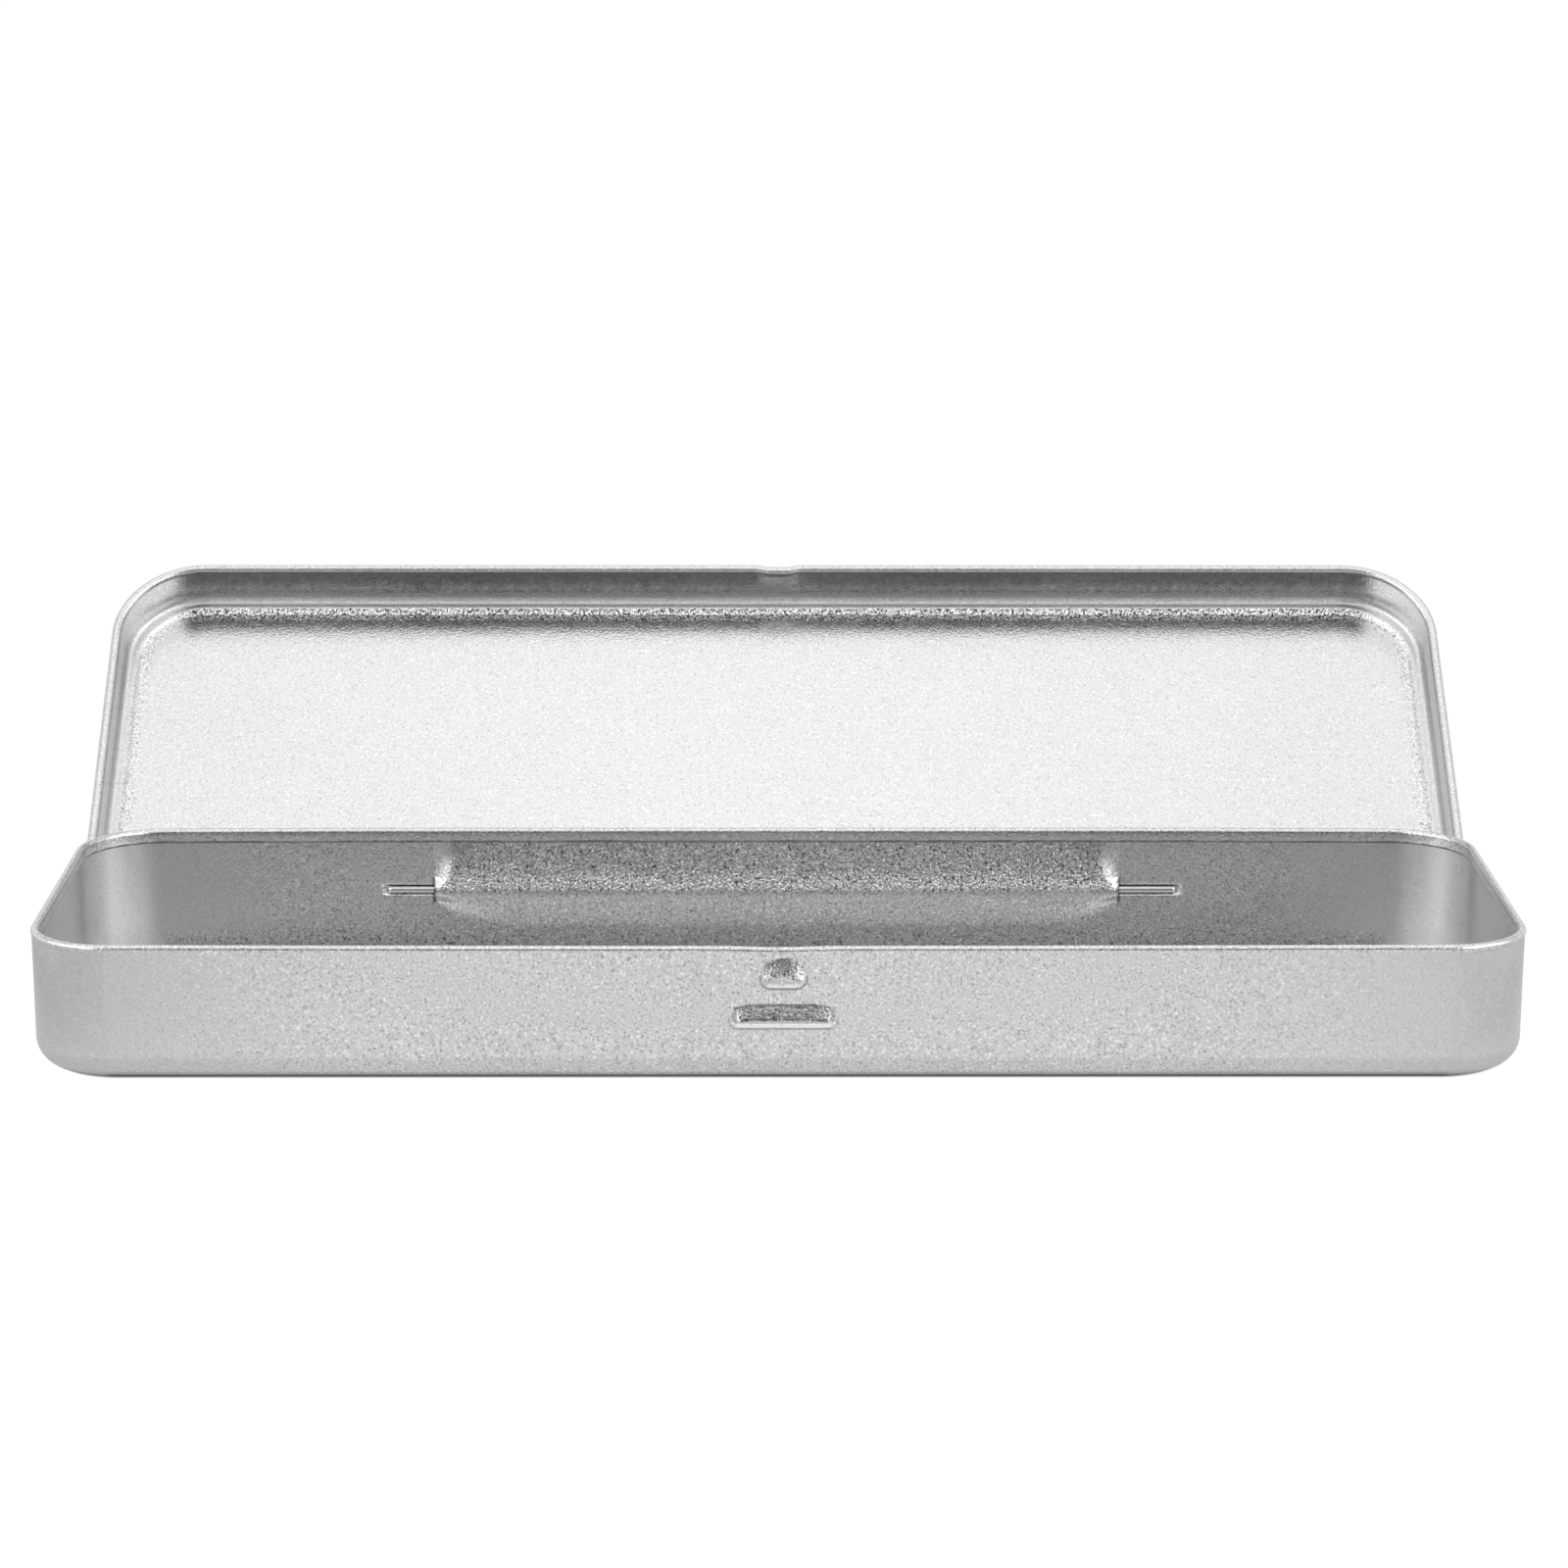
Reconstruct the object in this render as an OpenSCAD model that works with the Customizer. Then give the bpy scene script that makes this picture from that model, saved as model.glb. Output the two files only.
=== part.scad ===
// Slim hinged tin for pencils: a drawn tray, a drawn lid and one hinge wire.
// Frame: origin at the centre of the tray's flat underside, +X along the
// length, +Y from the catch at the front to the hinge at the rear, +Z up.
// The lid is drawn closed and then swung back to its open stop.

/* [Tray] */
// Length over the tray walls
tray_l = 190; // [186:1:200]
// Depth over the tray walls, front to rear
tray_d = 59.8; // [54:0.2:66]
// Height from the underside to the top of the rolled rim
tray_h = 18; // [18:0.5:20]
// Sheet thickness of the tray
tray_t = 0.28; // [0.25:0.01:0.3]
// Plan radius of the tray's corners
corner_r = 10.8; // [10:0.1:14]
// Outside radius of the bent edge between floor and wall
foot_r = 3.7; // [3:0.1:4]
// Diameter of the tray's inward rolled rim
rim_d = 1.1; // [1.1:0.05:1.5]

/* [Lid] */
// Sheet thickness of the lid
lid_t = 0.22; // [0.2:0.01:0.24]
// Clearance between tray and lid at the sides and the rear
lid_gap = 0.4; // [0.36:0.01:0.44]
// Clearance between tray and lid at the front, over the catch
lid_gap_front = 0.8; // [0.75:0.01:0.9]
// Diameter of the lid's outward rolled rim
lid_rim_d = 1.4; // [1.2:0.05:1.4]
// Outside radius of the lid's top edge
lid_edge_r = 1.1; // [1.1:0.1:1.6]
// Width of the low border round the raised panel, from the skirt
border_w = 2.4; // [2.2:0.1:3]
// Height of the raised panel above its border
panel_step = 0.5; // [0.3:0.1:0.6]

/* [Hinge] */
// Diameter of the hinge wire
wire_d = 1.0; // [0.98:0.01:1.02]
// Radial clearance between wire and knuckle
knuckle_gap = 0.045; // [0.03:0.005:0.06]
// Height of the hinge axis above the underside
hinge_z = 9.1; // [9:0.1:9.4]
// Half length of the pressed-in hinge pocket
pocket_half = 47.4; // [40:0.1:50]
// Left end of the wire, from the middle
wire_left = 54.0; // [52:0.5:58]
// Right end of the wire, from the middle
wire_right = 55.4; // [52:0.5:58]
// Opening angle at the stop
open_deg = 142; // [100:1:142]

/* [Catch] */
// Depth of the dent in the lid's front rim
dent = 0.45; // [0.2:0.05:0.45]
// Width of the dent
dent_w = 6.6; // [5:0.2:8]
// Length of the finger bead below the lid's edge
bead_l = 14.3; // [10:0.1:20]

/* [Hidden] */
$fn = 72;
e = 0.01;

rim_r = rim_d / 2;
lrim_r = lid_rim_d / 2;
wire_r = wire_d / 2;
bore_r = wire_r + knuckle_gap;
groove_r = wire_r - 0.01;
axis_y = tray_d / 2 + lid_gap - bore_r;
lid_rim_z = hinge_z + 3.04;
shoulder_z = tray_h + 0.25;
lid_top = shoulder_z + lid_t;
pocket_r = 2.2;
pocket_y = tray_d / 2 + 1.05;
nub_r = 1.9;
nub_z = tray_h - 3.9;
nub_out = 0.6;
bead_r = 1.65;
bead_z = tray_h - 9.2;
bead_out = 0.9;

// lid cavity, drawn closed
lid_in_l = tray_l + 2 * lid_gap;
lid_in_d = tray_d + lid_gap + lid_gap_front;
lid_cy = (lid_gap - lid_gap_front) / 2;
lid_ri = corner_r + 2 * lid_gap;

// ---------------------------------------------------------------- sweeps

// run a wall profile (x outward from the corner centre, y up) round a
// rounded rectangle whose outline is at x = r
module corners(l, d, r)
    for (c = [[1, 1, 0], [-1, 1, 90], [-1, -1, 180], [1, -1, 270]])
        translate([c[0] * (l / 2 - r), c[1] * (d / 2 - r), 0])
            rotate([0, 0, c[2]]) rotate_extrude(angle = 90) children();

// one straight run facing +Y, between x0 and x1
module run_y(x0, x1, d, r)
    translate([x0, d / 2 - r, 0]) rotate([90, 0, 90])
        linear_extrude(height = x1 - x0) children();

module run_ends(l, d, r)
    for (a = [-90, 90]) rotate([0, 0, a])
        run_y(-(d / 2 - r), d / 2 - r, l, r) children();

// a rod along X with round ends, total length len
module capsule(len, r) {
    rotate([0, 90, 0]) cylinder(h = len - 2 * r, r = r, center = true);
    for (s = [-1, 1]) translate([s * (len / 2 - r), 0, 0]) sphere(r = r);
}

module rod(x0, x1, r)
    translate([x0, 0, 0]) rotate([0, 90, 0]) cylinder(h = x1 - x0, r = r);

// ------------------------------------------------------------------ tray

// floor, bent foot, wall and inward curl
module tray_profile() {
    r = corner_r;
    square([r - foot_r, tray_t]);
    intersection() {
        difference() {
            translate([r - foot_r, foot_r]) circle(r = foot_r);
            translate([r - foot_r, foot_r]) circle(r = foot_r - tray_t);
        }
        translate([r - foot_r, 0]) square([foot_r, foot_r]);
    }
    translate([r - tray_t, foot_r]) square([tray_t, tray_h - rim_r - foot_r]);
    difference() {
        translate([r - rim_r, tray_h - rim_r]) circle(r = rim_r);
        translate([r - rim_r, tray_h - rim_r]) circle(r = rim_r - tray_t);
        translate([r - tray_t - 0.16, tray_h - 2 * rim_r - e])
            square([0.16, rim_r + e]);
    }
}

module tray_shell() {
    corners(tray_l, tray_d, corner_r) tray_profile();
    for (a = [0, 180]) rotate([0, 0, a])
        run_y(-(tray_l / 2 - corner_r), tray_l / 2 - corner_r, tray_d, corner_r)
            tray_profile();
    run_ends(tray_l, tray_d, corner_r) tray_profile();
    translate([-(tray_l / 2 - corner_r), -(tray_d / 2 - corner_r), 0])
        cube([tray_l - 2 * corner_r, tray_d - 2 * corner_r, tray_t]);
}

// the wall stands aside for the pocket, the wire, the nub and the bead
module tray_cuts() {
    translate([0, pocket_y, hinge_z]) rod(-pocket_half, pocket_half, pocket_r);
    translate([0, axis_y, hinge_z]) wire_bed(groove_r);
    translate([0, -(tray_d / 2 + nub_out - nub_r), nub_z])
        capsule(6.6 - 2 * tray_t, nub_r - tray_t);
    translate([0, -(tray_d / 2 + bead_out - bead_r), bead_z])
        capsule(bead_l - 2 * tray_t, bead_r - tray_t);
}

// both ends of the wire's bed, each closed by a round end
module wire_bed(r) {
    rod(-wire_left - 0.4, -pocket_half + e, r);
    rod(pocket_half - e, wire_right + 0.4, r);
    translate([-wire_left - 0.4, 0, 0]) sphere(r = r);
    translate([wire_right + 0.4, 0, 0]) sphere(r = r);
}

// inward pressed pocket that the knuckle turns in
module pocket_shell()
    intersection() {
        difference() {
            translate([0, pocket_y, hinge_z])
                rod(-pocket_half, pocket_half, pocket_r + tray_t);
            translate([0, pocket_y, hinge_z])
                rod(-pocket_half - 1, pocket_half + 1, pocket_r);
        }
        translate([-pocket_half, tray_d / 2 - 3, hinge_z - 4])
            cube([2 * pocket_half, 3, 8]);
    }

// outward pressed beds that grip the wire's ends
module bed_shell()
    difference() {
        intersection() {
            translate([0, axis_y, hinge_z]) {
                rod(-wire_left - 0.4, -pocket_half, groove_r + tray_t);
                rod(pocket_half, wire_right + 0.4, groove_r + tray_t);
                translate([-wire_left - 0.4, 0, 0]) sphere(r = groove_r + tray_t);
                translate([wire_right + 0.4, 0, 0]) sphere(r = groove_r + tray_t);
            }
            translate([-tray_l / 2, tray_d / 2 - tray_t, hinge_z - 3])
                cube([tray_l, 3, 6]);
        }
        translate([0, axis_y, hinge_z]) wire_bed(groove_r);
    }

// a hollow outward pressing in the front wall
module front_pressing(len, r, out, z)
    intersection() {
        translate([0, -(tray_d / 2 + out - r), z]) difference() {
            capsule(len, r);
            capsule(len - 2 * tray_t, r - tray_t);
        }
        translate([-len, -tray_d / 2 - 4, z - 4])
            cube([2 * len, 4 + tray_t, 8]);
    }

module base_tray()
    color([0.78, 0.78, 0.79]) {
        difference() {
            tray_shell();
            tray_cuts();
        }
        pocket_shell();
        bed_shell();
        front_pressing(6.6, nub_r, nub_out, nub_z);
        front_pressing(bead_l, bead_r, bead_out, bead_z);
    }

// ------------------------------------------------------------------- lid

// skirt, rounded top edge, low border and the start of the raised panel
module lid_profile() {
    r = lid_ri;
    w = r + lid_t;
    translate([r, lid_rim_z]) square([lid_t, lid_top - lid_edge_r - lid_rim_z]);
    intersection() {
        difference() {
            translate([w - lid_edge_r, lid_top - lid_edge_r])
                circle(r = lid_edge_r);
            translate([w - lid_edge_r, lid_top - lid_edge_r])
                circle(r = lid_edge_r - lid_t);
        }
        translate([w - lid_edge_r, lid_top - lid_edge_r])
            square([lid_edge_r, lid_edge_r]);
    }
    translate([w - border_w - lid_t, shoulder_z])
        square([border_w + lid_t - lid_edge_r, lid_t]);
    translate([w - border_w - lid_t, shoulder_z])
        square([lid_t, panel_step + lid_t]);
    translate([0, shoulder_z + panel_step])
        square([w - border_w, lid_t]);
}

// the skirt's outward curl
module lid_curl()
    translate([lid_ri + lrim_r, lid_rim_z]) difference() {
        circle(r = lrim_r);
        circle(r = lrim_r - lid_t);
        translate([lid_t - lrim_r, 0]) square([0.14, lrim_r]);
    }

module lid_closed() {
    xl = lid_in_l / 2 - lid_ri;
    translate([0, lid_cy, 0]) {
        corners(lid_in_l, lid_in_d, lid_ri) {
            union() { lid_profile(); lid_curl(); }
        }
        for (a = [0, 180]) rotate([0, 0, a])
            run_y(-xl, xl, lid_in_d, lid_ri) lid_profile();
        run_ends(lid_in_l, lid_in_d, lid_ri)
            union() { lid_profile(); lid_curl(); }
        translate([-xl, -(lid_in_d / 2 - lid_ri), shoulder_z + panel_step])
            cube([2 * xl, lid_in_d - 2 * lid_ri, lid_t]);
        // the rear curl stops at the hinge
        run_y(-xl, -pocket_half, lid_in_d, lid_ri) lid_curl();
        run_y(pocket_half, xl, lid_in_d, lid_ri) lid_curl();
        // the front curl steps in at the dent
        rotate([0, 0, 180]) {
            run_y(-xl, -dent_w / 2, lid_in_d, lid_ri) lid_curl();
            run_y(dent_w / 2, xl, lid_in_d, lid_ri) lid_curl();
            translate([0, -dent, 0])
                run_y(-dent_w / 2 - 0.3, dent_w / 2 + 0.3, lid_in_d, lid_ri)
                    difference() {
                        translate([lid_ri + lrim_r, lid_rim_z]) circle(r = lrim_r);
                        translate([lid_ri + lrim_r, lid_rim_z])
                            circle(r = lrim_r - lid_t);
                    }
        }
    }
    // knuckle tab and its curl round the wire
    k = pocket_half - 0.5;
    translate([-k, tray_d / 2 + lid_gap, hinge_z])
        cube([2 * k, lid_t, lid_rim_z - hinge_z + e]);
    translate([0, axis_y, hinge_z]) difference() {
        rod(-k, k, bore_r + lid_t);
        rod(-k - 1, k + 1, bore_r);
    }
}

module lid()
    color([0.80, 0.80, 0.81])
        translate([0, axis_y, hinge_z]) rotate([-open_deg, 0, 0])
            translate([0, -axis_y, -hinge_z]) lid_closed();

// ------------------------------------------------------------------ wire

module hinge_wire()
    color([0.70, 0.70, 0.71])
        translate([0, axis_y, hinge_z]) rotate([0, 90, 0]) {
            c = 0.12;
            translate([0, 0, -wire_left + c])
                cylinder(h = wire_left + wire_right - 2 * c, r = wire_r);
            translate([0, 0, -wire_left])
                cylinder(h = c, r1 = wire_r - c, r2 = wire_r);
            translate([0, 0, wire_right - c])
                cylinder(h = c, r1 = wire_r, r2 = wire_r - c);
        }

base_tray();
lid();
hinge_wire();
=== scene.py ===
import math

import bmesh
import bpy
import numpy as np
from mathutils import Matrix, Vector


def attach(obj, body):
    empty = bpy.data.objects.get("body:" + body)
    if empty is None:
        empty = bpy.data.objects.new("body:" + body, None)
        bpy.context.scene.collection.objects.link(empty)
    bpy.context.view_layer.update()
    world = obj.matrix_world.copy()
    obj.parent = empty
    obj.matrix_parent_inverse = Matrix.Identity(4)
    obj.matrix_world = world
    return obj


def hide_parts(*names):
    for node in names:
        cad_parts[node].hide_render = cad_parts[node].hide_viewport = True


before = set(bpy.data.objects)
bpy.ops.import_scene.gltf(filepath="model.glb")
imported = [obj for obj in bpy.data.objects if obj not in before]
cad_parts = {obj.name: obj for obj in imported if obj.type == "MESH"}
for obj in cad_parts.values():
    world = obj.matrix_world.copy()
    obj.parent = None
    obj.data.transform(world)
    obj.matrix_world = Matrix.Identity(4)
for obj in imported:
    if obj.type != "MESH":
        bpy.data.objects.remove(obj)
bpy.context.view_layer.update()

# ---------------------------------------------------------------- sizes, mm
L, D, H = 190.0, 59.8, 18.0          # tray over its walls
R = 10.8                             # plan radius of the tray's corners
FOOT = 3.7                           # bend between floor and wall
TT = 0.28                            # tray sheet
TR = 0.55                            # radius of the tray's rolled rim
NECK = 0.12                          # the wall stands back under the rim, at the corners
HY, HZ = D / 2 - 0.145, 9.1          # hinge axis
LT = 0.22                            # lid sheet
LR = 0.7                             # radius of the lid's rolled rim
GAP, GAPF = 0.4, 0.8                 # clearance, and clearance at the front
RI = R + 2 * GAP                     # inner plan radius of the lid's corners
LIL, LID = L + 2 * GAP, D + GAP + GAPF
LCY = (GAP - GAPF) / 2
RIMZ = HZ + 3.04                     # centre of the lid's rim, closed
LEDGE = H + 0.25                     # inner face of the lid's low border
STEP = 0.51
EDGE = 0.90                          # inner radius of the lid's top edge
PH = 47.4                            # half length of the hinge pocket
WL, WR = 53.7, 55.2                  # wire ends
CX = 0.5                             # the catch sits a little to the right
OPEN = math.radians(142.0)
BORE = 0.545
MM = 0.001


def smooth(t):
    t = np.clip(t, 0.0, 1.0)
    return t * t * (3 - 2 * t)


def spaced(marks):
    """Positions from a list of (start, end, spacing)."""
    out = []
    for a, b, s in marks:
        n = max(1, int(round(abs(b - a) / s)))
        out += list(np.linspace(a, b, n + 1)[:-1])
    return out + [marks[-1][1]]


# ------------------------------------------------------- outline of a sheet
def outline(length, depth, r, xs_rear, xs_front, end_step=3.0, arc=22):
    """Columns round a rounded rectangle, counter-clockwise from the right
    end: corner centre or foot point, outward direction, side name."""
    cols = []
    hx, hy = length / 2 - r, depth / 2 - r
    ny = max(2, int(round(2 * hy / end_step)))

    def corner(cx, cy, a0):
        for a in np.linspace(a0, a0 + 90, arc + 1)[1:-1]:
            a = math.radians(a)
            cols.append((cx, cy, math.cos(a), math.sin(a), "corner", 0))

    for y in np.linspace(-hy, hy, ny + 1):
        cols.append((hx, y, 1.0, 0.0, "end", 0))
    corner(hx, hy, 0)
    for x, part in xs_rear:
        cols.append((x, hy, 0.0, 1.0, "rear", part))
    corner(-hx, hy, 90)
    for y in np.linspace(hy, -hy, ny + 1):
        cols.append((-hx, y, -1.0, 0.0, "end", 0))
    corner(-hx, -hy, 180)
    for x in xs_front:
        cols.append((x, -hy, 0.0, -1.0, "front", 0))
    corner(hx, -hy, 270)
    return cols


def rear_columns(hx):
    """x from +hx down to -hx, with the column at each slit doubled."""
    right = spaced([(hx, 62, 3.0), (62, 58, 0.8), (58, 50, 0.4), (50, PH, 0.2)])
    mid = spaced([(PH, 45.5, 0.2), (45.5, 41, 0.6), (41, 30, 2.0), (30, -30, 3.5),
                  (-30, -41, 2.0), (-41, -45.5, 0.6), (-45.5, -PH, 0.2)])
    left = spaced([(-PH, -50, 0.2), (-50, -58, 0.4), (-58, -62, 0.8), (-62, -hx, 3.0)])
    return ([(x, 1) for x in right] + [(x, 0) for x in mid] + [(x, -1) for x in left])


def front_columns(hx, dense):
    a = spaced([(-hx, -dense - 4, 3.5), (-dense - 4, -dense, 0.8), (-dense, dense, 0.2),
                (dense, dense + 4, 0.8), (dense + 4, hx, 3.5)])
    return a


def build(name, verts, nrow, ncol, cap_row, flip, peel, painted_shade, painted_sheen_and_satin):
    """Close the grid round, cap its first row and merge shared columns; the
    sheet gets its thickness later, in thicken."""
    me = bpy.data.meshes.new(name)
    bm = bmesh.new()
    lay = bm.verts.layers.float.new("painted_shade")
    lay2 = bm.verts.layers.float.new("peel")
    lay3 = bm.verts.layers.float.new("painted_sheen_and_satin")
    v = []
    for i, p in enumerate(verts):
        v.append(bm.verts.new(Vector(p) * MM))
        v[-1][lay] = painted_shade[i]
        v[-1][lay2] = peel[i]
        v[-1][lay3] = painted_sheen_and_satin[i]
    for c in range(ncol):
        c2 = (c + 1) % ncol
        if SEAM.get((name, c)):
            continue
        for r in range(nrow - 1):
            q = [v[c * nrow + r], v[c * nrow + r + 1], v[c2 * nrow + r + 1], v[c2 * nrow + r]]
            if flip:
                q.reverse()
            bm.faces.new(q)
    bmesh.ops.remove_doubles(bm, verts=bm.verts, dist=1e-7)
    bm.verts.ensure_lookup_table()
    # cap: the boundary loop of the first row
    loop = [e for e in bm.edges if e.is_boundary and
            all(abs(p.co.z - cap_row) < 2e-6 for p in e.verts) and
            all(inside_cap(p.co) for p in e.verts)]
    bmesh.ops.contextual_create(bm, geom=loop)
    bmesh.ops.recalc_face_normals(bm, faces=bm.faces)
    bm.to_mesh(me)
    bm.free()
    ob = bpy.data.objects.new(name, me)
    bpy.context.scene.collection.objects.link(ob)
    return ob


SEAM = {}


def inside_cap(p):
    return abs(p.x) < 0.0905 and -0.034 < p.y < 0.034


def thicken(ob, thick, offset, keep):
    """Solidify, applied; each face of the sheet keeps its own press grain,
    painted shade and painted sheen; then sharp edges are marked by angle."""
    first = len(ob.data.vertices)
    m = ob.modifiers.new("sheet", "SOLIDIFY")
    m.thickness = thick * MM
    m.offset = offset
    m.use_even_offset = True
    m.use_quality_normals = True
    dg = bpy.context.evaluated_depsgraph_get()
    new = bpy.data.meshes.new_from_object(ob.evaluated_get(dg))
    ob.modifiers.clear()
    old = ob.data
    ob.data = new
    bpy.data.meshes.remove(old)
    new.name = ob.name
    for name in ("peel", "painted_sheen_and_satin", "painted_shade"):
        data = new.attributes[name].data
        for i, v in enumerate(new.vertices):
            if not keep(name, i < first, v.co):
                data[i].value = 0.0
    bm = bmesh.new()
    bm.from_mesh(new)
    for f in bm.faces:
        f.smooth = True
    for e in bm.edges:
        if len(e.link_faces) == 2 and e.calc_face_angle(0) > math.radians(38):
            e.smooth = False
    bm.to_mesh(new)
    bm.free()
    return ob


# ------------------------------------------------------------------- tray
def tray_profile():
    """(outward distance, height) of the outside face, from the floor to the
    end of the curl."""
    p = [(2.0, 0.0), (4.5, 0.0), (R - FOOT - 0.25, 0.0)]
    for a in np.linspace(-90, 0, 13):
        a = math.radians(a)
        p.append((R - NECK - FOOT + FOOT * math.cos(a) + 0.0, FOOT + FOOT * math.sin(a)))
    zs = spaced([(3.7, 5.9, 0.55), (5.9, 6.9, 0.35), (6.9, 7.6, 0.2), (7.6, 10.6, 0.1),
                 (10.6, 16.6, 0.2), (16.6, 17.02, 0.21)])[1:]
    p += [(R - NECK, z) for z in zs]
    for a in np.linspace(-30, 180, 20):
        a = math.radians(a)
        p.append((R - TR + TR * math.cos(a), H - TR + TR * math.sin(a)))
    # inside, the rim runs down a little and tucks its edge against the wall
    e = R - 2 * TR
    p += [(e, H - TR - 0.4), (e, HEM + 0.42), (e + 0.02, HEM + 0.3)]
    for a in np.linspace(180, 300, 6):
        a = math.radians(a)
        p.append((e + 0.32 + 0.3 * math.cos(a), HEM + 0.3 + 0.3 * math.sin(a)))
    return p


NRIM = 29
HEM = 16.02                          # lower edge of the rim on the inside


def tray_inset(x, y, z):
    """The walls draw in a little to the foot and to the ends of the long
    sides, as thin drawn sheet does."""
    taper = 0.12 * (1 - z / H)
    g = smooth(z / 14.0)
    front = 0.62 * (abs(x) / 95.0) ** 2 * g + 0.3 * (1 - g)
    rear = 0.55 * smooth((abs(x) - 52.0) / 40.0)
    dy = (front if y < 0 else rear) * min(1.0, abs(y) / (D / 2))
    return taper, dy


def lip(s, w):
    """Rounded edge of a pressing: steep at its foot, level after w."""
    s = min(max(s / w, 0.0), 1.0)
    return math.sqrt(1 - (1 - s) ** 2)


def slope(t, e=0.22):
    """Straight slope from 0 to 1 with short rounded ends."""
    t = min(max(t, 0.0), 1.0)
    if t < e:
        return t * t / (2 * e * (1 - e))
    if t > 1 - e:
        return 1 - (1 - t) ** 2 / (2 * e * (1 - e))
    return (t - e / 2) / (1 - e)


def nub(x, z):
    """Outward pressing that the lid snaps over: a soft, arched slope above
    and a rounded lip with full corners below."""
    x -= CX
    hw, zb, rc = 2.95, 12.52, 1.35
    qx, qz = abs(x) - (hw - rc), (zb + rc) - z
    s = rc - (math.hypot(max(qx, 0.0), qz) if qz > 0 else max(qx, 0.0))
    top = 16.75 - 1.5 * min(1.0, abs(x) / hw) ** 2.2
    ramp = slope((top - z) / 2.8)
    soft = 1.0 + 0.3 * float(smooth((0.3 - x) / 1.5) * smooth((z - 13.2) / 0.8))
    return 0.58 * lip(s, (1.15 + 0.35 * max(0.0, z - 13.9)) * soft) * ramp


def bead(x, z):
    """Longer pressing for a fingernail, with soft round ends."""
    x -= CX
    hw, zb, rc = 6.9, 7.28, 1.15
    qx, qz = abs(x) - (hw - rc), (zb + rc) - z
    s = rc - (math.hypot(max(qx, 0.0), qz) if qz > 0 else max(qx, 0.0))
    top = 10.8 - 0.9 * min(1.0, abs(x) / hw) ** 5
    ramp = slope((top - z) / 2.5)
    ends = float(smooth((hw + 0.1 - abs(x)) / 3.0))
    keep = float(smooth((hw - 0.25 - abs(x)) / 1.1))
    low = float(smooth((zb + 1.25 - z) / 0.9))
    return 0.74 * lip(s, 1.1) * ramp * (keep + (1 - keep) * low * ends)


def peel_tray(x, z, side, part, k):
    """How strongly the sheet is stretched and roughened by the press."""
    w = 0.0
    if side == "front" and k < 0:
        u = abs(x - CX)
        w = float(smooth((2.9 - u) / 0.9) * smooth((z - 13.6) / 0.5) * smooth((16.3 - z) / 0.9))
        w += float(smooth((6.9 - u) / 1.0) * smooth((z - 8.5) / 0.35) * smooth((10.6 - z) / 0.7))
        w *= 0.24
        w -= 0.15 * float(smooth((abs(x) - 45.0) / 39.0))
    if side in ("corner", "end") and k < 0:
        return -0.17
    if side == "rear" and k < 0:
        w = 0.10 - 0.27 * float(smooth((abs(x) - 62.0) / 22.0))
        if z < 1.35:
            w = 0.35
        if part == 0 and z > HZ - 0.3:
            a = float(smooth((PH - abs(x)) / (0.8 + 1.2 * abs(z - HZ))))
            w = max(w, a * float(smooth((z - HZ + 0.1) / 0.4)) * (0.46 + 0.30 * float(smooth((12.5 - z) / 2.8))))
    return w


def painted_edge_shade_and_sheen(x, z, side, k):
    """Painted shade in the creases of the two front pressings, painted highlights
    on their lips, and painted shade in the gap under the edge of the rim."""
    # painted shade in the gap under the hem at the rim's inner edge, darkest on the hem's last rows
    if k > 21:
        return (0.35 if k == 22 else 0.85), 0.0
    if side != "front" or k >= 0:
        return 0.0, 0.0
    dark = shine = 0.0
    u = abs(x - CX)
    for hw, zb, rc, top, depth, lip_sheen in ((2.95, 12.52, 1.35, 0.72, 0.8, 0.7), (6.9, 7.28, 1.15, 0.86, 0.4, 1.0)):
        qx, qz = u - (hw - rc), (zb + rc) - z
        s = rc - (math.hypot(max(qx, 0.0), qz) if qz > 0 else max(qx, 0.0))
        # painted shade along the outline of each pressing
        if z < zb + rc + 0.4:
            dark = max(dark, depth * max(0.0, 1 - abs(s - 0.02) / 0.2))
        # painted shade on the left side of the nub and at the ends of the bead
        if z > zb + top + 0.25 and (hw > 5 or x < CX):
            dark = max(dark, 0.42 * float(smooth((u - hw + 1.6) / 0.6) * smooth((hw - 0.25 - u) / 0.5)
                                         * smooth((16.4 - z if hw < 5 else 10.4 - z) / 0.6)))
        # a thin line of painted shade just above the crest of each lip
        if s > 0.2:
            dark = max(dark, 0.28 * max(0.0, 1 - abs(z - (zb + top + 0.3)) / 0.32) * float(smooth((hw - 0.4 - u) / 0.6)))
        # painted highlight on the lower lip of each pressing
        if s > 0.05 and z < zb + top + 0.2:
            shine = max(shine, lip_sheen * float(smooth((zb + top + 0.12 - z) / 0.3) * smooth((s - 0.08) / 0.15)
                                             * smooth((hw - 0.5 - u) / 0.5)))
    return dark, shine


def pocket(x, z):
    """Inward pressing over the knuckle. The crest is on the hinge line, and
    long slopes run up to the rim and down to the foot. At the two slits the
    pressing is short and tight, and it fans out from there."""
    zr = z - HZ
    q = abs(zr)
    tight = math.cos(math.pi / 2 * min(1.0, q / 1.9)) ** 2
    run = 7.3 if zr > 0 else 4.9
    c = 0.45
    lean = max(0.0, 1 - (math.sqrt(q * q + c * c) - c) / run) ** (1.45 if zr > 0 else 1.25)
    a = float(smooth((PH - abs(x)) / (1.1 + (0.5 if zr > 0 else 2.2) * q)))
    return -1.15 * ((1 - a) * tight + a * lean)


def bed(x, z):
    """Outward pressing round each end of the wire: a narrow trough."""
    q = abs(z - HZ)
    end = WR if x > 0 else WL
    f = 1 - smooth((abs(x) - end - 0.15) / 0.9)
    return 0.645 * float(f) * max(0.0, 1 - (q / 0.92) ** 4)


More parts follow.
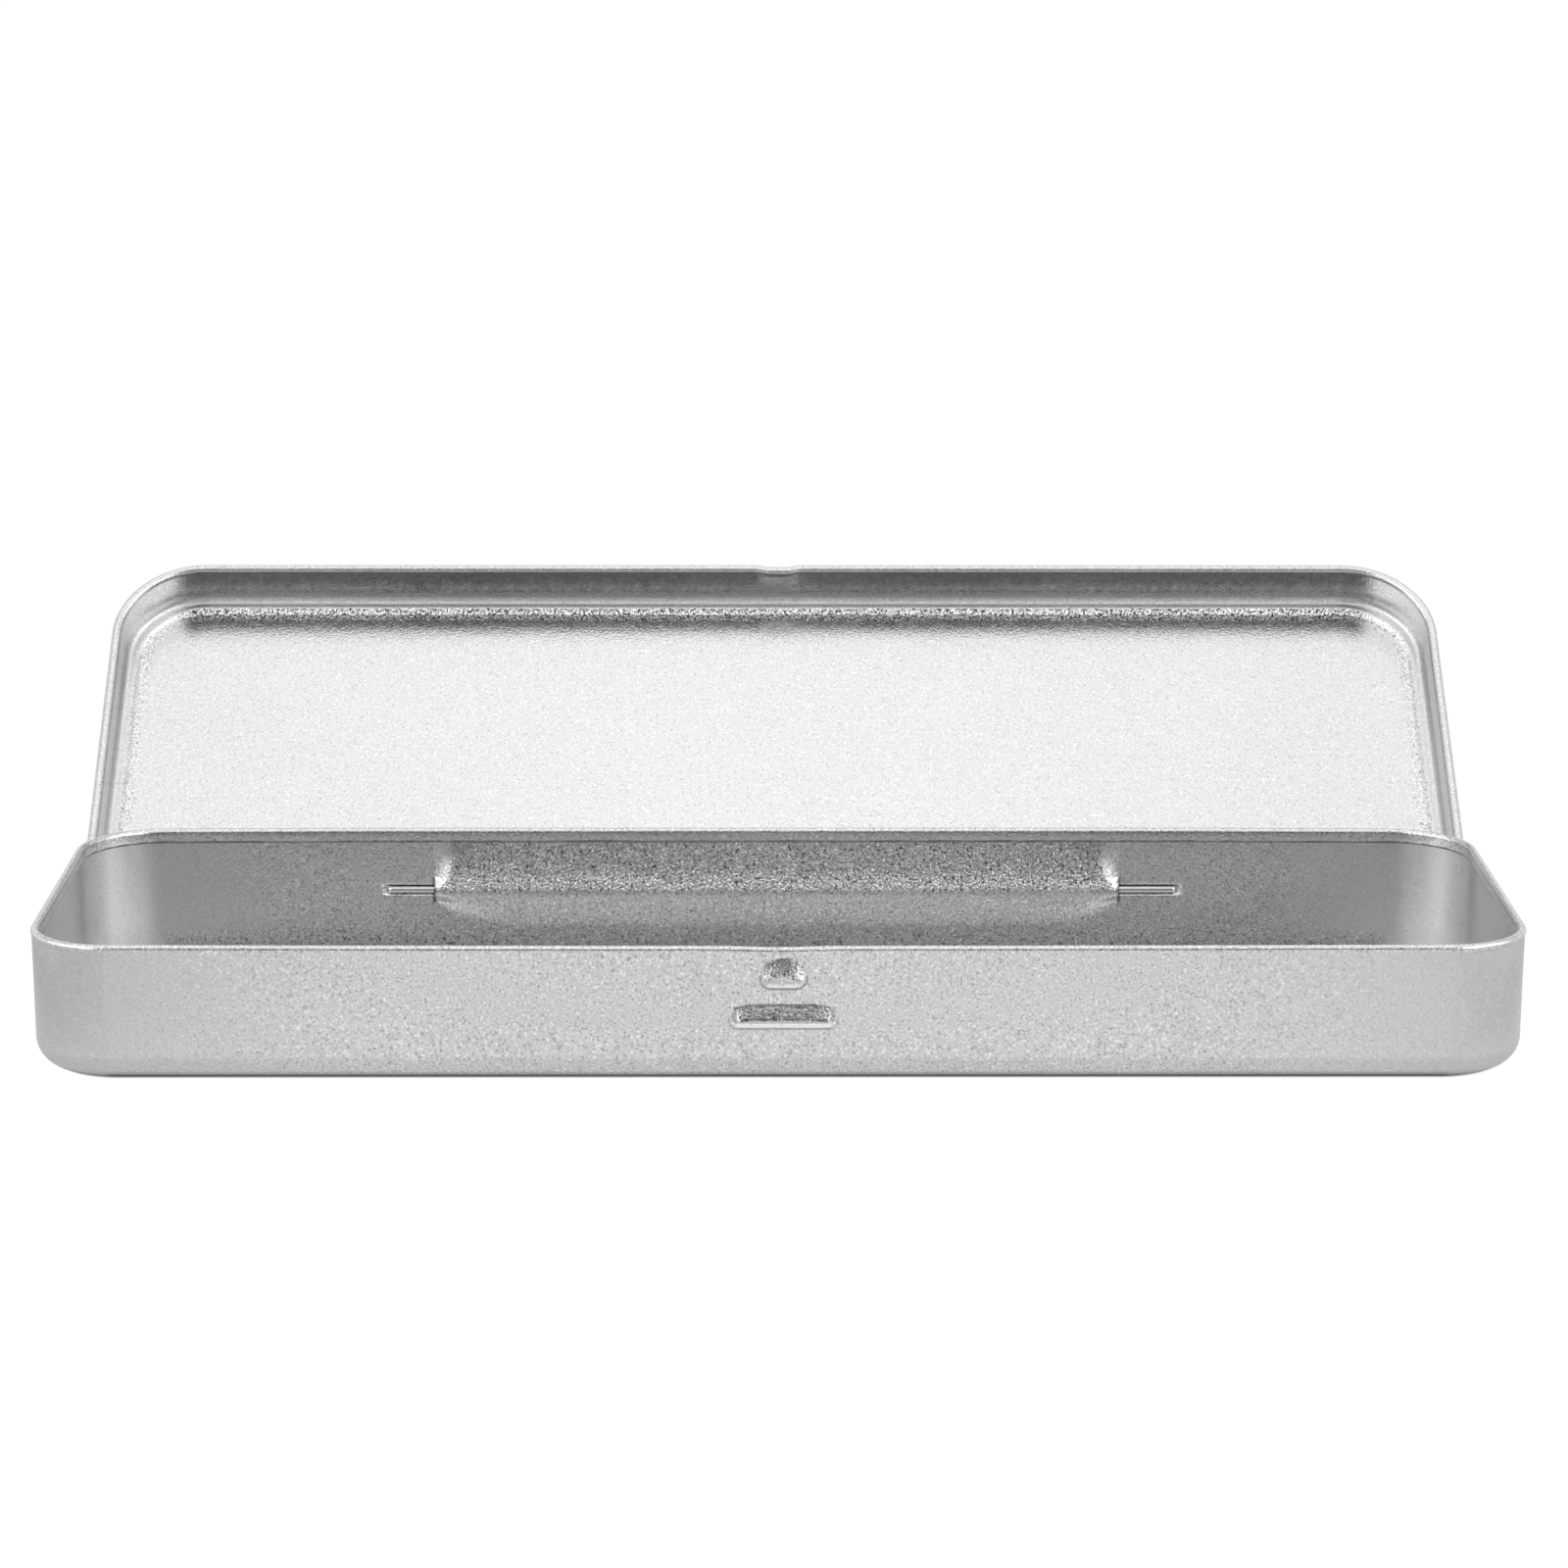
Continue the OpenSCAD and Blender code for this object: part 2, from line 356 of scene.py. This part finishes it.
def make_tray():
    prof = tray_profile()
    hx = L / 2 - R
    cols = outline(L, D, R, rear_columns(hx), front_columns(hx, 8.0))
    verts, painted_shade, peel, painted_sheen_and_satin = [], [], [], []
    nrow, ncol = len(prof), len(cols)
    for i, (cx, cy, nx, ny, side, part) in enumerate(cols):
        # at the rear the foot is tighter than in the corners
        tf = 0.70 * (1.0 if side == "rear" else float(smooth((ny - 0.4) / 0.6)) if side == "corner" else 0.0)
        flush = 1.0 if side in ("front", "rear") else float(smooth((abs(ny) - 0.9) / 0.1)) if side == "corner" else 0.0
        for r, (u, z) in enumerate(prof):
            d = 0.0
            if z < FOOT and u > R - FOOT - NECK:
                u += (R - NECK - u) * tf
                z *= 1 - tf
            if 3.0 < z < H - TR and r < nrow - NRIM + 3:
                u += flush * (R - u)
            wall = 3.7 < z < 16.9 and u > R - 0.3
            if wall and side == "front":
                d = nub(cx, z) + bead(cx, z)
            if wall and side == "rear":
                d = float(pocket(cx, z) if part == 0 else bed(cx, z))
            x, y = cx + nx * (u + d), cy + ny * (u + d)
            tp, dy = tray_inset(x, y, z)
            x -= math.copysign(min(tp, abs(x)), x) * min(1.0, abs(x) / 90.0)
            y -= math.copysign(min(tp + dy, abs(y)), y) * min(1.0, abs(y) / 25.0)
            if side == "front" and z > 16.5:
                z -= 0.16 * math.exp(-(cx / 4.5) ** 2)
            verts.append((x, y, z))
            # painted shade along the two slits: the sheet beside each slit is darkened
            slit = side == "rear" and abs(abs(cx) - PH) < 0.25 and abs(z - HZ) < 1.85
            painted_shade.append((1.0 if abs(abs(cx) - PH) < 1e-6 else 0.5 if part else 0.35) if slit else 0.0)
            k = r - (nrow - NRIM)
            peel.append(peel_tray(cx, z, side, part, k) if k < 0 else 0.0)
            a, b = painted_edge_shade_and_sheen(cx, z, side, k)
            painted_shade[-1] = max(painted_shade[-1], a)
            # painted shade along the foot bend at the rear
            if side == "rear" and z < 1.35 and k < 0:
                painted_shade[-1] = 0.25
            if side == "rear" and part == 0 and k < 0 and z > HZ + 1.1:
                b = -0.8 * float(smooth((abs(cx) - PH + 3.0) / 1.8) * smooth((z - HZ - 1.3) / 0.7))
            painted_sheen_and_satin.append(b if side in ("front", "rear") or k >= 0 else -0.4 - 0.6 * float(smooth((4.5 - z) / 1.5)))
        nxt = cols[(i + 1) % ncol]
        if side == "rear" and nxt[4] == "rear" and abs(nxt[0] - cx) < 1e-9:
            SEAM[("tray_sheet", i)] = True
    ob = build("tray_sheet", verts, nrow, ncol, 0.0, False, peel, painted_shade, painted_sheen_and_satin)


    def keep(name, outside, co):
        rear = co.y > 0.015
        if name == "painted_shade":
            return co.z > 0.002 or not (outside and rear)
        return not (outside and rear) if name == "peel" else True

    return thicken(ob, TT, -1.0, keep)


# -------------------------------------------------------------------- lid
def lid_profile():
    """(outward distance, height) of the inner face with the lid closed, from
    the panel to the bottom of the skirt."""
    p = [(2.0, LEDGE + STEP), (4.5, LEDGE + STEP), (6.6, LEDGE + STEP), (7.2, LEDGE + STEP), (7.8, LEDGE + STEP), (8.4, LEDGE + STEP), (8.8, LEDGE + STEP)]
    a, b = RI - 2.45, RI - 1.25
    for t in np.linspace(0, 1, 15):
        p.append((a + (b - a) * t, LEDGE + STEP * (1 - float(smooth(t)))))
    for t in np.linspace(90, 0, 10):
        t = math.radians(t)
        p.append((RI - EDGE + EDGE * math.cos(t), LEDGE - EDGE + EDGE * math.sin(t)))
    p += [(RI, z) for z in spaced([(LEDGE - EDGE, 14.4, 0.6), (14.4, 12.9, 0.3), (12.9, RIMZ, 0.25)])[1:]]
    return p


N_CURL = 26


def lid_tail(side, part, cx):
    """The rows below the skirt: an outward curl, or at the hinge the tab that
    is curled round the wire."""
    out = []
    if side == "rear" and part == 0:
        k = 5
        for j in range(1, k + 1):
            out.append((RI, RIMZ + (HZ - RIMZ) * j / k, 1.0 if j > 1 else 0.5))
        c = HY - (D / 2 + GAP - RI)
        for a in np.linspace(0, -300, N_CURL - k + 1)[1:]:
            a = math.radians(a)
            out.append((c + BORE * math.cos(a), HZ + BORE * math.sin(a), 1.0))
        return out
    for a in np.linspace(180, 415, N_CURL + 1)[1:]:
        a = math.radians(a)
        out.append((RI + LR + LR * math.cos(a), RIMZ + LR * math.sin(a), 0.0))
    return out


def dent(x, z, u):
    f = 1 - smooth((abs(x - CX) - 0.9) / 2.9)
    g = 1 - smooth((z - 12.2) / 2.8)
    return 0.40 * float(f) * float(g)


def make_lid():
    prof = lid_profile()
    hx, hy = LIL / 2 - RI, LID / 2 - RI
    cols = outline(LIL, LID, RI, rear_columns(hx), front_columns(hx, 5.0))
    ncol = len(cols)
    nrow = len(prof) + N_CURL
    verts, peel, painted_shade, painted_sheen_and_satin = [], [], [], []
    for i, (cx, cy, nx, ny, side, part) in enumerate(cols):
        rows = [(u, z, 0.0) for u, z in prof] + lid_tail(side, part, cx)
        for r, (u, z, k) in enumerate(rows):
            d = 0.0
            if side == "front" and u > RI - 0.5 and z < 15.4:
                d = -dent(cx, z, u)
            x = cx + nx * (u + d)
            if k:
                x *= 1 - k * 0.5 / PH
            y = cy + ny * (u + d) + LCY
            verts.append((x, y, z))
            w = float(smooth((u - (RI - 3.9)) / 1.3) * smooth(((RI - 1.45) - u) / 0.3))
            far = {"front": 1.0, "end": 0.12, "rear": 0.8}.get(side, 0.12 + 0.88 * float(smooth((abs(ny) - 0.88) / 0.11)))
            peel.append(w * far if k == 0 and z > LEDGE - 0.05 else 0.0)
            # satin in the bend; painted shade in the crease where the skirt turns into the rim
            painted_sheen_and_satin.append(-float(smooth((u - (RI - 1.75)) / 0.35) * smooth((z - (LEDGE - EDGE - 0.2)) / 0.3)) * (1.0 if side == "front" else 0.55))
            j = r - len(prof)
            # painted shade on the skirt below its top bend, weaker in the corners
            way = {"front": 1.0, "rear": 1.0, "end": 0.4}.get(side, 0.4 + 0.6 * float(smooth((abs(ny) - 0.9) / 0.1)))
            painted_shade.append(0.45 if not k and j in (-1, 0, 1) else 0.22 * way if j < -1 and z < LEDGE - EDGE + 0.1 else 0.0)
        nxt = cols[(i + 1) % ncol]
        if side == "rear" and nxt[4] == "rear" and abs(nxt[0] - cx) < 1e-9:
            SEAM[("lid_sheet", i)] = True
    ob = build("lid_sheet", verts, nrow, ncol, (LEDGE + STEP) * MM, True, peel, painted_shade, painted_sheen_and_satin)
    thicken(ob, LT, -1.0, lambda name, inside, co: inside)
    # swing back to the open stop about the wire
    c = Vector((0, HY * MM, HZ * MM))
    m = Matrix.Translation(c) @ Matrix.Rotation(-OPEN, 4, "X") @ Matrix.Translation(-c)
    ob.data.transform(m)
    return ob


# ------------------------------------------------------------------- wire
def make_wire():
    """Straight wire with sheared, slightly rounded ends."""
    r = 0.5
    seg = 28
    st = [(-WL, r * 0.80), (-WL + 0.03, r * 0.93), (-WL + 0.10, r), (-WL + 0.6, r)]
    st += [(x, r) for x in np.linspace(-WL + 6, WR - 6, 12)]
    st += [(WR - 0.6, r), (WR - 0.10, r), (WR - 0.03, r * 0.93), (WR, r * 0.80)]
    bm = bmesh.new()
    rings = []
    for x, q in st:
        rings.append([bm.verts.new(Vector((x, HY + q * math.cos(2 * math.pi * k / seg),
                                           HZ + q * math.sin(2 * math.pi * k / seg))) * MM)
                      for k in range(seg)])
    for a, b in zip(rings, rings[1:]):
        for k in range(seg):
            bm.faces.new([a[k], a[(k + 1) % seg], b[(k + 1) % seg], b[k]])
    bm.faces.new(rings[0])
    bm.faces.new(list(reversed(rings[-1])))
    bmesh.ops.recalc_face_normals(bm, faces=bm.faces)
    for f in bm.faces:
        f.smooth = True
    for e in bm.edges:
        if len(e.link_faces) == 2 and e.calc_face_angle(0) > math.radians(50):
            e.smooth = False
    me = bpy.data.meshes.new("wire")
    bm.to_mesh(me)
    bm.free()
    ob = bpy.data.objects.new("wire", me)
    bpy.context.scene.collection.objects.link(ob)
    return ob


# -------------------------------------------------------------- materials
def tinplate(name, tone, rough, grain, depth, spots=0.012, peel=0.0, bias=0.0, lines=0.0):
    """Satin bare sheet: a fine grain in the surface, slight clouding of tone
    and roughness, satin patches, painted highlights on the lips of the catch and painted shade in creases and slits."""
    mat = bpy.data.materials.new(name)
    mat.use_nodes = True
    nt = mat.node_tree
    nd, ln = nt.nodes, nt.links
    nd.clear()
    out = nd.new("ShaderNodeOutputMaterial")
    bs = nd.new("ShaderNodeBsdfPrincipled")
    bs.inputs["Metallic"].default_value = 1.0
    ln.new(bs.outputs[0], out.inputs[0])
    tc = nd.new("ShaderNodeTexCoord")

    def noise(scale, detail=2.0, roughness=0.5, vec=None):
        n = nd.new("ShaderNodeTexNoise")
        n.inputs["Scale"].default_value = scale
        n.inputs["Detail"].default_value = detail
        n.inputs["Roughness"].default_value = roughness
        ln.new(vec or tc.outputs["Object"], n.inputs["Vector"])
        return n.outputs["Fac"]

    def remap(src, a, b, c, d):
        n = nd.new("ShaderNodeMapRange")
        n.inputs["From Min"].default_value = a
        n.inputs["From Max"].default_value = b
        n.inputs["To Min"].default_value = c
        n.inputs["To Max"].default_value = d
        ln.new(src, n.inputs["Value"])
        return n.outputs["Result"]

    def math_(op, a, b):
        n = nd.new("ShaderNodeMath")
        n.operation = op
        for i, s in enumerate((a, b)):
            if isinstance(s, (int, float)):
                n.inputs[i].default_value = s
            else:
                ln.new(s, n.inputs[i])
        return n.outputs[0]

    cloud = noise(38.0, 3.0, 0.55)
    fine = noise(1000.0 / grain, 1.0, 0.5)
    mid = noise(1000.0 / (grain * 3.1), 2.0, 0.5)
    # tone: clouding, a fine pepper of crystal grains, and scattered bright and
    # dark ones; all of it is stronger where the press stretched the sheet
    off = nd.new("ShaderNodeMapping")
    off.inputs["Location"].default_value = (3.7, 1.9, 5.3)
    ln.new(tc.outputs["Object"], off.inputs["Vector"])
    spot = noise(1000.0 / (grain * 1.15), 1.0, 0.5, off.outputs["Vector"])
    pl = nd.new("ShaderNodeAttribute")
    pl.attribute_name = "peel"
    amp = math_("ADD", math_("MULTIPLY", pl.outputs["Fac"], peel), spots)
    sig = remap(fine, 0.28, 0.72, -1.0, 1.0)
    sig = math_("ADD", sig, math_("MULTIPLY", remap(spot, 0.60, 0.70, 0.0, 1.0), 3.0))
    sig = math_("ADD", sig, math_("MULTIPLY", remap(spot, 0.30, 0.40, -1.0, 0.0), 3.0))
    tv = math_("ADD", remap(cloud, 0.3, 0.7, -0.014, 0.014), remap(mid, 0.35, 0.65, -0.12 * spots, 0.12 * spots))
    t = math_("ADD", math_("ADD", tv, math_("MULTIPLY", sig, amp)), tone)
    t = math_("ADD", t, math_("MULTIPLY", pl.outputs["Fac"], bias))
    # painted highlight: the tone is raised on the lips of the catch (the negative part of the attribute only adds
    # satin roughness below)
    rb = nd.new("ShaderNodeAttribute")
    rb.attribute_name = "painted_sheen_and_satin"
    t = math_("ADD", t, math_("MULTIPLY", math_("MAXIMUM", rb.outputs["Fac"], 0.0), 0.32))
    t = math_("MAXIMUM", math_("MINIMUM", t, 0.985), 0.08)
    # painted shade: the tone is darkened in creases, along the two slits, under the rim's hem, at the rear foot and on
    # the lid's skirt
    at = nd.new("ShaderNodeAttribute")
    at.attribute_name = "painted_shade"
    t = math_("MULTIPLY", t, remap(at.outputs["Fac"], 0.0, 1.0, 1.0, 0.10))
    comb = nd.new("ShaderNodeCombineColor")
    ln.new(t, comb.inputs["Red"])
    ln.new(math_("ADD", t, 0.001), comb.inputs["Green"])
    ln.new(math_("ADD", t, 0.004), comb.inputs["Blue"])
    ln.new(comb.outputs["Color"], bs.inputs["Base Color"])
    # roughness
    rv = math_("ADD", remap(cloud, 0.3, 0.7, -0.02, 0.02), remap(mid, 0.35, 0.65, -0.025, 0.025))
    rv = math_("SUBTRACT", rv, math_("MULTIPLY", math_("MINIMUM", rb.outputs["Fac"], 0.0), 0.22))
    rv = math_("SUBTRACT", rv, math_("MULTIPLY", at.outputs["Fac"], 0.3))
    ln.new(math_("MAXIMUM", math_("ADD", rv, rough), 0.08), bs.inputs["Roughness"])
    # grain
    h = math_("ADD", fine, math_("MULTIPLY", mid, 0.25))
    bump = nd.new("ShaderNodeBump")
    bump.inputs["Strength"].default_value = 1.0
    ln.new(math_("MULTIPLY", math_("ADD", math_("MULTIPLY", pl.outputs["Fac"], 3.4), 1.0), depth * MM), bump.inputs["Distance"])
    ln.new(h, bump.inputs["Height"])
    last = bump
    if lines:
        sc = nd.new("ShaderNodeMapping")
        sc.inputs["Scale"].default_value = (900.0, 14000.0, 14000.0)
        ln.new(tc.outputs["Object"], sc.inputs["Vector"])
        b2 = nd.new("ShaderNodeBump")
        b2.inputs["Distance"].default_value = lines * MM
        ln.new(noise(1.0, 2.0, 0.5, sc.outputs["Vector"]), b2.inputs["Height"])
        ln.new(bump.outputs[0], b2.inputs["Normal"])
        last = b2
    ln.new(last.outputs[0], bs.inputs["Normal"])
    return mat


tray_mat = tinplate("tray_tinplate_satin", 0.69, 0.21, 0.30, 0.036, spots=0.085, peel=0.34, bias=0.16)
lid_mat = tinplate("lid_tinplate_satin", 0.69, 0.21, 0.32, 0.034, spots=0.045, peel=0.62)
wire_mat = tinplate("drawn_wire", 0.72, 0.14, 0.25, 0.002, lines=0.003)

tray = make_tray()
tray.data.materials.append(tray_mat)
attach(tray, "base")
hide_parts("base_tray")

lid = make_lid()
lid.data.materials.append(lid_mat)
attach(lid, "lid")
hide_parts("lid")

wire = make_wire()
wire.data.materials.append(wire_mat)
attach(wire, "base")
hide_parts("hinge_wire")

# ------------------------------------------------------------------ stage
floor_me = bpy.data.meshes.new("floor")
floor_me.from_pydata([(-9, -9, 0), (9, -9, 0), (9, 9, 0), (-9, 9, 0)], [], [(0, 1, 2, 3)])
floor = bpy.data.objects.new("floor", floor_me)
floor.location.z = -0.00005
bpy.context.scene.collection.objects.link(floor)
fm = bpy.data.materials.new("floor_white")
fm.use_nodes = True
nt = fm.node_tree
nt.nodes.clear()
fo = nt.nodes.new("ShaderNodeOutputMaterial")
em = nt.nodes.new("ShaderNodeEmission")
nt.links.new(em.outputs[0], fo.inputs[0])
ftc = nt.nodes.new("ShaderNodeTexCoord")
fsep = nt.nodes.new("ShaderNodeSeparateXYZ")
nt.links.new(ftc.outputs["Object"], fsep.inputs[0])


def fmath(op, a, b=0.0, c=None, clamp=False):
    n = nt.nodes.new("ShaderNodeMath")
    n.operation = op
    n.use_clamp = clamp
    for i, s in enumerate((a, b, c)):
        if s is None:
            continue
        if isinstance(s, (int, float)):
            n.inputs[i].default_value = s
        else:
            nt.links.new(s, n.inputs[i])
    return n.outputs[0]


def fstep(v, a, b, c, d):
    n = nt.nodes.new("ShaderNodeMapRange")
    n.interpolation_type = "SMOOTHSTEP"
    for k, q in (("From Min", a), ("From Max", b), ("To Min", c), ("To Max", d)):
        n.inputs[k].default_value = q
    nt.links.new(v, n.inputs["Value"])
    return n.outputs["Result"]


ax = fmath("ABSOLUTE", fsep.outputs["X"])
ay = fmath("ABSOLUTE", fsep.outputs["Y"])
# shade where the tin stands
qx = fmath("MAXIMUM", fmath("SUBTRACT", ax, 0.0835), 0.0)
qy = fmath("MAXIMUM", fmath("SUBTRACT", ay, 0.0185), 0.0)
qd = fmath("SQRT", fmath("ADD", fmath("MULTIPLY", qx, qx), fmath("MULTIPLY", qy, qy)))
under = fstep(qd, 0.0074, 0.0088, 0.03, 1.0)
# the sheen on the tin comes from a table that is lit in the middle, falls off
# to the sides and is shaded close to the tin; the table itself shows as white
near = fmath("ADD", fstep(qd, 0.0079, 0.0103, 0.05, 0.84), fstep(qd, 0.0100, 0.0200, 0.0, 0.16))
left = fmath("MULTIPLY", fsep.outputs["X"], -1.0)
sides = fmath("MULTIPLY", fstep(left, 0.062, 0.145, 1.0, 0.60), fstep(fsep.outputs["X"], 0.070, 0.150, 1.0, 0.68))
sides = fmath("MULTIPLY", sides, fstep(ax, 0.132, 0.180, 1.0, 1.65))
lit = fmath("MULTIPLY", fmath("MULTIPLY", near, sides), 0.87)
flp = nt.nodes.new("ShaderNodeLightPath")
cam_ray = flp.outputs["Is Camera Ray"]
seen = fmath("MULTIPLY", fmath("MULTIPLY", under, 1.02), cam_ray)
rest_ = fmath("MULTIPLY", lit, fmath("SUBTRACT", 1.0, cam_ray))
nt.links.new(fmath("ADD", seen, rest_), em.inputs["Strength"])
floor_me.materials.append(fm)

# ------------------------------------------------------------------ world
world = bpy.data.worlds.new("studio")
bpy.context.scene.world = world
world.use_nodes = True
nt = world.node_tree
nt.nodes.clear()
wo = nt.nodes.new("ShaderNodeOutputWorld")
wb = nt.nodes.new("ShaderNodeBackground")
nt.links.new(wb.outputs[0], wo.inputs[0])
wtc = nt.nodes.new("ShaderNodeTexCoord")
wsep = nt.nodes.new("ShaderNodeSeparateXYZ")
nt.links.new(wtc.outputs["Generated"], wsep.inputs[0])
z = wsep.outputs["Z"]


def ramp(v, stops):
    n = nt.nodes.new("ShaderNodeValToRGB")
    n.color_ramp.interpolation = "EASE"
    el = n.color_ramp.elements
    el[0].position, el[0].color = stops[0][0], (stops[0][1],) * 3 + (1,)
    el[1].position, el[1].color = stops[-1][0], (stops[-1][1],) * 3 + (1,)
    for p, c in stops[1:-1]:
        e = el.new(p)
        e.color = (c, c, c, 1)
    nt.links.new(v, n.inputs[0])
    return n.outputs["Color"]


# values are radiance / 2: dark behind the camera, bright overhead
front = ramp(z, [(0.0, 0.055), (0.30, 0.06), (0.47, 0.29), (0.84, 0.52), (0.985, 0.60), (1.0, 0.70)])
rest = ramp(z, [(0.0, 0.44), (0.40, 0.44), (0.62, 0.34), (0.9, 0.57), (0.985, 0.58), (1.0, 0.70)])
hor = fmath("SQRT", fmath("MAXIMUM", fmath("SUBTRACT", 1.0, fmath("MULTIPLY", z, z)), 0.0001))
az = fmath("DIVIDE", fmath("MULTIPLY", wsep.outputs["Y"], -1.0), hor)
mix0 = nt.nodes.new("ShaderNodeMix")
mix0.data_type = "RGBA"
nt.links.new(fstep(az, 0.05, 0.75, 0.0, 1.0), mix0.inputs["Factor"])
nt.links.new(rest, mix0.inputs["A"])
nt.links.new(front, mix0.inputs["B"])
# two soft boxes, to the left and right of the camera
win = fmath("MULTIPLY", fstep(az, 0.905, 0.955, 1.0, 0.0), fstep(az, -0.25, 0.05, 0.0, 1.0))
win = fmath("MULTIPLY", win, fmath("MULTIPLY", fstep(z, 0.01, 0.09, 0.0, 1.0), fstep(z, 0.68, 0.80, 1.0, 0.0)))
mix = nt.nodes.new("ShaderNodeMix")
mix.data_type = "RGBA"
nt.links.new(win, mix.inputs["Factor"])
nt.links.new(mix0.outputs["Result"], mix.inputs["A"])
mix.inputs["B"].default_value = (0.84, 0.84, 0.84, 1)
lp = nt.nodes.new("ShaderNodeLightPath")
# the backdrop itself is plain white
mix2 = nt.nodes.new("ShaderNodeMix")
mix2.data_type = "RGBA"
nt.links.new(lp.outputs["Is Camera Ray"], mix2.inputs["Factor"])
nt.links.new(mix.outputs["Result"], mix2.inputs["A"])
mix2.inputs["B"].default_value = (0.51, 0.51, 0.51, 1)
nt.links.new(mix2.outputs["Result"], wb.inputs["Color"])
wb.inputs["Strength"].default_value = 2.0

# ----------------------------------------------------------------- camera
yaw, pitch, roll = math.radians(0.470), math.radians(13.927), math.radians(0.109)
dist, target = 562.649, Vector((0.736, 0.0, 31.517))
fwd = Vector((math.sin(yaw) * math.cos(pitch), math.cos(yaw) * math.cos(pitch), -math.sin(pitch)))
right = fwd.cross(Vector((0, 0, 1))).normalized()
up = right.cross(fwd)
r2 = right * math.cos(roll) + up * math.sin(roll)
u2 = up * math.cos(roll) - right * math.sin(roll)
cam = bpy.data.cameras.new("camera")
cam.sensor_width = 36.0
cam.lens = 4395.16 / 1600.0 * 36.0
cam.clip_start, cam.clip_end = 0.01, 50.0
co = bpy.data.objects.new("camera", cam)
bpy.context.scene.collection.objects.link(co)
m = Matrix(((r2.x, u2.x, -fwd.x, 0), (r2.y, u2.y, -fwd.y, 0), (r2.z, u2.z, -fwd.z, 0), (0, 0, 0, 1)))
co.matrix_world = Matrix.Translation((target - fwd * dist) * MM) @ m
bpy.context.scene.camera = co

vs = bpy.context.scene.view_settings
vs.view_transform = "Standard"
vs.look = "None"
vs.exposure = 0.0
vs.gamma = 1.0
